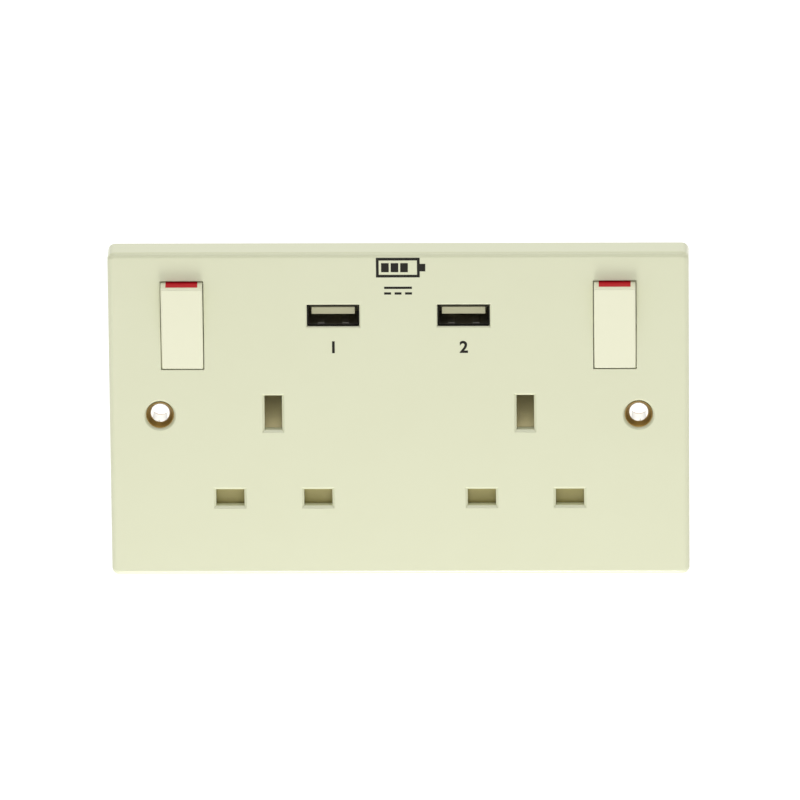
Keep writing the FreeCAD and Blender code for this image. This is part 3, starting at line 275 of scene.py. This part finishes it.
# %% [markdown]
# Metals
#
# Stamped brass bars and clips are bright and are brushed along one way, which a stretched noise imitates.
# Screws and springs are zinc plated steel. The port shells are nickel plated steel, and a mask on depth
# darkens
# their first half millimetre, the mouth: this is painted shade.

# %% Sheet metals, springs and screws
BRUSH = 0.35 * MM
BLOTCH = 3 * MM
SCRATCH = 0.006 * MM
RIM = 0.5 * MM
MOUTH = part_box("usb_shell_left")[0][1]


def metal(name, colour, deeper, roughness, stretch, shaded_mouth=None):
    finish = Finish(name, colour, roughness, metallic=1.0)
    brushed = finish.grain(BRUSH, 3.0, stretch)
    finish.tint(finish.grain(BLOTCH, 3.0) * 0.8, deeper)
    # Painted shade: the first half millimetre of a port shell is tinted dark.
    if shaded_mouth:
        finish.tint(1 - (finish.place("Y") > MOUTH + RIM), shaded_mouth)
    finish.feed("Roughness", brushed * 0.22 + (roughness - 0.11))
    finish.relief(brushed, SCRATCH, 0.1 * MM)
    return finish.material


stamped_brass = metal("stamped_brass", (206, 172, 104), (188, 150, 84), 0.34, (0.1, 1, 1))
zinc_steel = metal("zinc_steel", (190, 192, 192), (168, 168, 164), 0.36, (1, 1, 0.2))
# The last colour is painted shade at the mouth of each port.
port_steel = metal("port_steel", (165, 163, 160), (150, 148, 144), 0.45, (1, 0.15, 1), (36, 35, 32))
gilt = metal("gilt", (214, 180, 96), (200, 160, 80), 0.25, (1, 0.1, 1))
print("ports darken", round(RIM / MM, 2), "mm deep from", round(MOUTH / MM, 2), "mm")

# %% [markdown]
# Ferrules
#
# The ferrules are turned brass, dull with age and handling. Turning leaves rings, and the bore was reamed
# bright, so it is glossy and mirrors the white ground behind the plate. Its near-white colour is painted
# light, so that the bore looks white from the front. The bore is found by its distance from the ferrule's
# own axis.
# Both ferrules share the finish, because they lie at the same distance from the middle and the sum takes the
# distance without its sign.

# %% Turned brass
BORE = 2.4 * MM

low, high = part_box("fixing_ferrule_right")
brass = Finish("ferrule_brass", (176, 148, 88), 0.42, metallic=1.0)
across = abs(brass.place("X")) - (low[0] + high[0]) / 2
up = brass.place("Z")
painted_white_bore = 1 - (across * across + up * up > BORE ** 2)
rings = brass.grain(BRUSH, 3.0, (1, 0.08, 1))
brass.tint(brass.grain(BLOTCH, 3.0) * 0.8, (138, 112, 60))
# Painted light: the bore is tinted near white.
brass.tint(painted_white_bore, (250, 246, 236))
brass.feed("Roughness", (1 - painted_white_bore) * (rings * 0.22 + 0.31) + painted_white_bore * 0.08)
brass.relief(rings * (1 - painted_white_bore), SCRATCH)
ferrule_brass = brass.material
print("ferrules lie", round((low[0] + high[0]) / MM, 1), "mm apart")

# %% [markdown]
# Plain mouldings inside and at the back
#
# The housing is an off-white thermoplastic with the faint spark-eroded texture of its tool. The charger's
# pieces are black, sleeved in blue or wound with yellow tape. One function makes them all, because they
# differ only in colour, gloss and how deep their texture is.

# %% Back plastics
MOULD_EDGE = 0.2 * MM


def moulded(name, colour, deeper, roughness, texture=0.02 * MM, size=0.6 * MM):
    finish = Finish(name, colour, roughness)
    finish.tint(finish.grain(9 * MM, 4.0) * 0.6, deeper)
    finish.feed("Roughness", finish.grain(1.5 * MM) * 0.1 + (roughness - 0.05))
    finish.relief(finish.grain(size, 3.0), texture, MOULD_EDGE)
    return finish.material


housing_white = moulded("housing_white", (226, 224, 212), (216, 213, 198), 0.5)
tongue_cream = moulded("tongue_cream", (198, 196, 160), (180, 177, 142), 0.45, 0.01 * MM)
black_moulding = moulded("black_moulding", (34, 34, 35), (46, 46, 47), 0.45)
sleeve_blue = moulded("sleeve_blue", (38, 44, 66), (30, 34, 52), 0.3, 0.004 * MM)
tape_yellow = moulded("tape_yellow", (212, 176, 72), (196, 158, 60), 0.35, 0.006 * MM, 1.5 * MM)
print("moulded finishes: 5")

# %% [markdown]
# Circuit board
#
# The charger's board is green laminate. Its glass cloth just shows through the lacquer as a fine weave, made
# by two wave patterns at right angles that are multiplied.

# %% Green laminate
WEAVE = 900.0  # waves to the metre, in Blender's scale

board = Finish("board_green", (24, 84, 50), 0.35, coat=0.3)
threads = [
    board.node("ShaderNodeTexWave", {"bands_direction": way}, {"Vector": board.place(), "Scale": WEAVE})
    for way in ("X", "Z")
]
weave = threads[0] * threads[1]
board.tint(weave * 0.25, (40, 110, 66))
board.relief(weave, 0.004 * MM, 0.1 * MM)
board_green = board.material
print("board finish:", board_green.name)

# %% [markdown]
# Ink
#
# The marks on the plate are pad printed in a dark olive ink, which is matt and lets a little of the cream
# through where it lies thin.

# %% Ink
ink = Finish("olive_ink", (20, 18, 11), 0.55, specular=0.25)
ink.tint(ink.grain(0.3 * MM, 3.0) * 0.5, (42, 38, 26))
olive_ink = ink.material
print("ink finish:", olive_ink.name)

# %% [markdown]
# Soft rounds on the CAD pieces
#
# A CAD mesh comes as loose triangles, each flat. On a glossy rounded edge they would show as facets, so we
# copy the mesh, merge its doubles, and shade it smooth between sharp edges. A Weighted Normal modifier keeps
# the big flat faces flat. The copy then replaces the CAD piece and rides on the same body.

# %% A smooth copy of a CAD piece
SHARP = math.radians(32)
SIDES = ("left", "right")


def smoothed(node, material):
    mesh = frame["nodes"][node].data.copy()
    mesh.name = f"{node}_smooth"
    shape = bmesh.new()
    shape.from_mesh(mesh)
    bmesh.ops.remove_doubles(shape, verts=shape.verts, dist=0.0005 * MM)
    for side in shape.faces:
        side.smooth = True
    shape.to_mesh(mesh)
    shape.free()
    if "custom_normal" in mesh.attributes:
        mesh.attributes.remove(mesh.attributes["custom_normal"])
    mesh.set_sharp_from_angle(angle=SHARP)
    piece = bpy.data.objects.new(mesh.name, mesh)
    scene.collection.objects.link(piece)
    mesh.materials.clear()
    mesh.materials.append(material)
    weighted = piece.modifiers.new("flat faces stay flat", "WEIGHTED_NORMAL")
    weighted.keep_sharp = True
    weighted.weight = 100
    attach(piece, frame["nodes"][node]["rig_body"])
    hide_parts(node)
    return piece


smooth_pieces = [
    smoothed("front_plate", plate_cream),
    smoothed("rear_housing", housing_white),
    smoothed("usb_cover", housing_white),
    smoothed("housing_screws", zinc_steel),
]
for side in SIDES:
    smooth_pieces += [
        smoothed(f"rocker_{side}", rocker_cream_lit),
        smoothed(f"rocker_flash_{side}", flash_red),
        smoothed(f"fixing_ferrule_{side}", ferrule_brass),
        smoothed(f"usb_shell_{side}", port_steel),
    ]
print("smooth copies:", len(smooth_pieces))

# %% [markdown]
# Pieces that keep their CAD mesh
#
# Flat stampings and blocks need no smoothing. They stay as they are and only get a finish, by the first
# words of their names. The first row that fits counts, so springs and screws come before what they serve.

# %% Give every other piece its finish
FINISH_BY_NAME = (
    (zinc_steel, ("shutter_spring", "rocker_spring", "live_terminal_screw",
                  "neutral_terminal_screw", "earth_terminal_screw")),
    (stamped_brass, ("moving_contact", "live_", "neutral_", "earth_", "switched_live_bar",
                     "usb_neutral_link")),
    (shutter_painted_shade, ("shutter",)),
    (tongue_cream, ("plunger", "usb_tongue")),
    (gilt, ("usb_contacts",)),
    (board_green, ("usb_board",)),
    (tape_yellow, ("usb_transformer",)),
    (sleeve_blue, ("usb_input_capacitor", "usb_output_capacitor")),
    (black_moulding, ("usb_control_chip", "usb_rectifier")),
)
finished = 0
for name, node in frame["nodes"].items():
    for material, starts in FINISH_BY_NAME:
        if name.startswith(starts):
            node.data.materials.clear()
            node.data.materials.append(material)
            finished += 1
            break
print("CAD pieces with a finish:", finished)

# %% [markdown]
# Print on the plate
#
# Ink is a skin only hundredths of a millimetre thick, so each mark is a thin solid that stands just proud of
# the face. A plain numeral stands under each port. It is text, a little bolder than the font's own, and is
# made into a mesh before it is put in place.

# %% Numerals
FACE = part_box("front_plate")[0][1]
INK_THICK = 0.02 * MM
NUMERAL_TALL = 3.0 * MM
NUMERAL_UP = 17.9 * MM
CAPITALS = 0.7  # height of a numeral over the font's size
BOLDER = 0.03  # growth of the outline over the font's size


def put_on_plate(mesh, name):
    mesh.materials.clear()
    mesh.materials.append(olive_ink)
    mark = bpy.data.objects.new(name, mesh)
    scene.collection.objects.link(mark)
    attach(mark, "base")
    return mark


def numeral(text, across, up, tall):
    curve = bpy.data.curves.new(f"numeral_{text}", "FONT")
    curve.body = text
    curve.align_x = "CENTER"
    curve.align_y = "CENTER"
    curve.size = tall / CAPITALS
    curve.extrude = INK_THICK
    curve.offset = BOLDER * curve.size
    holder = bpy.data.objects.new("numeral_text", curve)
    scene.collection.objects.link(holder)
    mesh = bpy.data.meshes.new_from_object(holder)
    bpy.data.objects.remove(holder)
    stand = Matrix.Translation((across, FACE, up)) @ Matrix.Rotation(math.pi / 2, 4, "X")
    mesh.transform(stand)
    return put_on_plate(mesh, f"printed_numeral_{text}")


port_x = {}
for number, side in enumerate(SIDES, 1):
    low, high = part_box(f"usb_shell_{side}")
    port_x[side] = (low[0] + high[0]) / 2
    numeral(str(number), port_x[side], NUMERAL_UP, NUMERAL_TALL)
print("numerals under the ports at", [round(place / MM, 1) for place in port_x.values()], "mm")

# %% [markdown]
# Signs between the ports
#
# A small battery and the sign for direct current tell what the ports are for. Both are made of upright
# rectangles only, so one function takes a list of rows, and each row is a bmesh cube scaled to its size.

# %% Battery and direct current
BATTERY_UP = 39.2 * MM
BATTERY_WIDE = 11 * MM
BATTERY_TALL = 5.2 * MM
BATTERY_LINE = 0.7 * MM
POLE = 1 / 2.6  # height of the battery's pole over its own
CHARGE = (-1.35, -0.35, 0.65)  # bars of charge, left of the middle
CHARGE_STEP = 1.25  # step of the bars over their width
CURRENT_UP = 33.1 * MM
CURRENT_WIDE = 7 * MM
CURRENT_GAP = 1.5 * MM
CURRENT_LINE = 0.6 * MM


def bars(name, rows):
    """Thin solid rectangles, each given by its centre, width and height."""
    shape = bmesh.new()
    for across, up, wide, tall in rows:
        made = bmesh.ops.create_cube(shape, size=1)
        bmesh.ops.scale(shape, vec=(wide, 2 * INK_THICK, tall), verts=made["verts"])
        bmesh.ops.translate(shape, vec=(across, FACE, up), verts=made["verts"])
    mesh = bpy.data.meshes.new(name)
    shape.to_mesh(mesh)
    shape.free()
    return put_on_plate(mesh, name)


def battery(up, wide, tall, line):
    rows = [(0, up + way * (tall - line) / 2, wide, line) for way in (-1, 1)]
    rows += [(way * (wide - line) / 2, up, line, tall - 2 * line) for way in (-1, 1)]
    rows.append((wide / 2 + line, up, 2 * line, tall * POLE))
    cell = (wide - 2 * line) / 5
    rows += [(spot * CHARGE_STEP * cell, up, cell, tall - 4 * line) for spot in CHARGE]
    return bars("printed_battery", rows)


def direct_current(up, wide, gap, line):
    dash = wide / 4
    rows = [(0, up + gap / 2, wide, line)]
    rows += [(way * (wide - dash) / 2, up - gap / 2, dash, line) for way in (-1, 0, 1)]
    return bars("printed_direct_current", rows)


battery(BATTERY_UP, BATTERY_WIDE, BATTERY_TALL, BATTERY_LINE)
direct_current(CURRENT_UP, CURRENT_WIDE, CURRENT_GAP, CURRENT_LINE)
print("signs:", round(BATTERY_WIDE / MM, 1), "and", round(CURRENT_WIDE / MM, 1), "mm wide")

# %% [markdown]
# Spring leaves in the ports
#
# The floor of a port's shell has two sprung leaves that press on the plug. They are cut from the shell and
# bowed inwards, and their crests catch a little light in the dark port. Each is a strip of a few cells
# whose middle rows are lifted, and a Solidify modifier gives it the sheet's thickness.

# %% Sprung leaves on the floor of each port
LEAF_LONG = 6 * MM
LEAF_WIDE = 1.7 * MM
LEAF_RISE = 0.45 * MM
LEAF_SHEET = 0.2 * MM
LEAF_SPOTS = (-3.1 * MM, 3.1 * MM)  # from the middle of the port
LEAF_START = 1.2 * MM  # behind the mouth
SHELL_SHEET = 0.32 * MM  # from the shell's underside to its floor


def port_leaf(name, across, front, floor_up):
    shape = bmesh.new()
    bmesh.ops.create_grid(shape, x_segments=2, y_segments=12, size=0.5)
    bmesh.ops.scale(shape, vec=(LEAF_WIDE, LEAF_LONG, 1), verts=shape.verts)
    for corner in shape.verts:
        corner.co.z = LEAF_RISE * math.cos(math.pi * corner.co.y / LEAF_LONG) ** 2
    bmesh.ops.translate(shape, vec=(across, front + LEAF_LONG / 2, floor_up), verts=shape.verts)
    mesh = bpy.data.meshes.new(name)
    shape.to_mesh(mesh)
    shape.free()
    mesh.materials.append(port_steel)
    leaf = bpy.data.objects.new(name, mesh)
    scene.collection.objects.link(leaf)
    sheet = leaf.modifiers.new("sheet", "SOLIDIFY")
    sheet.thickness = LEAF_SHEET
    sheet.offset = 1
    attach(leaf, "base")
    return leaf


for side in SIDES:
    low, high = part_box(f"usb_shell_{side}")
    for number, spot in enumerate(LEAF_SPOTS, 1):
        port_leaf(f"port_leaf_{side}_{number}", port_x[side] + spot, low[1] + LEAF_START,
                  low[2] + SHELL_SHEET)
print("leaves:", len(SIDES) * len(LEAF_SPOTS))

# %% [markdown]
# Floor
#
# The picture is a catalogue shot on white, with much of its light from below. A pale floor that gives a
# little light of its own does both jobs: it is the white ground, and it is a large soft light from below.

# %% White floor
FLOOR_UP = -0.6
FLOOR_HALF = 40
FLOOR_GLOW = 0.42

shape = bmesh.new()
bmesh.ops.create_grid(shape, x_segments=1, y_segments=1, size=FLOOR_HALF)
bmesh.ops.translate(shape, vec=(0, 0, FLOOR_UP), verts=shape.verts)
mesh = bpy.data.meshes.new("floor")
shape.to_mesh(mesh)
shape.free()
floor = bpy.data.objects.new("floor", mesh)
scene.collection.objects.link(floor)
white = Finish("floor_white", (235, 235, 235), 0.9)
white.shader.inputs["Emission Color"].default_value = (1, 1, 1, 1)
white.shader.inputs["Emission Strength"].default_value = FLOOR_GLOW
mesh.materials.append(white.material)
print("floor:", FLOOR_UP, "m, glow", FLOOR_GLOW)

# %% [markdown]
# Sky
#
# The sky is dark in front, so that the glossy face has nothing bright to mirror. It is lighter behind, where
# the bores of the ferrules look, and lightest above, which lifts the upper ends of the rockers. Its strength
# is a sum of the direction's own parts.

# %% Sky
SKY_FRONT = 0.05
SKY_BEHIND = 0.75
SKY_ABOVE = 1.0

world = bpy.data.worlds.new("studio")
world.use_nodes = True
sky = world.node_tree
direction = sky.nodes.new("ShaderNodeTexCoord")
parts = sky.nodes.new("ShaderNodeSeparateXYZ")
sky.links.new(direction.outputs["Generated"], parts.inputs[0])
behind = Wire(sky, parts.outputs["Y"]).positive()
above = Wire(sky, parts.outputs["Z"]).positive()
strength = behind * SKY_BEHIND + above * SKY_ABOVE + SKY_FRONT
background = sky.nodes["Background"]
background.inputs["Color"].default_value = (1, 1, 1, 1)
sky.links.new(strength.socket, background.inputs["Strength"])
scene.world = world
print("sky strength: front", SKY_FRONT, "behind", SKY_BEHIND, "above", SKY_ABOVE)

# %% [markdown]
# Lamps
#
# A key lamp low in front shapes the rockers: they stand proud at the top and throw a soft shadow upwards. It
# stands low enough for the shadow to reach a few millimetres, and above the floor, which would hide it. A
# second lamp almost straight above grazes the face and lifts only the ends and edges that look up.

# %% Two disk lamps
def area_light(name, place, size, watts):
    lamp = bpy.data.lights.new(name, "AREA")
    lamp.shape = "DISK"
    lamp.size = size
    lamp.energy = watts
    holder = bpy.data.objects.new(name, lamp)
    holder.location = place
    holder.rotation_euler = (-Vector(place)).to_track_quat("-Z", "Y").to_euler()
    holder.visible_camera = False
    scene.collection.objects.link(holder)
    return holder


key_low = area_light("key_low", place=(0.0, -0.25, -0.43), size=0.19, watts=1.12)
top_soft = area_light("top_soft", place=(0.0, -0.06, 0.45), size=0.3, watts=0.45)
print("lamps:", key_low.name, top_soft.name)

# %% [markdown]
# Camera
#
# The photograph looks down on the socket a little from the right with a long lens, so lines that run back
# hardly meet. The camera's place and turn were fitted until holes, ports and rockers fell on the same spots.

# %% Camera
CAMERA_PLACE = (0.0828, -3.5667, 1.2641)
CAMERA_TURN = (70.505, 0.526, 1.143)  # degrees
CAMERA_LENS = 675

camera_data = bpy.data.cameras.new("camera")
camera_data.sensor_width = 36
camera_data.lens = CAMERA_LENS
camera_data.clip_end = 100
camera = bpy.data.objects.new("camera", camera_data)
camera.location = CAMERA_PLACE
camera.rotation_euler = Euler([math.radians(angle) for angle in CAMERA_TURN])
scene.collection.objects.link(camera)
scene.camera = camera
scene.view_settings.view_transform = "Standard"
print("camera:", CAMERA_LENS, "mm at", round(Vector(CAMERA_PLACE).length, 2), "m")
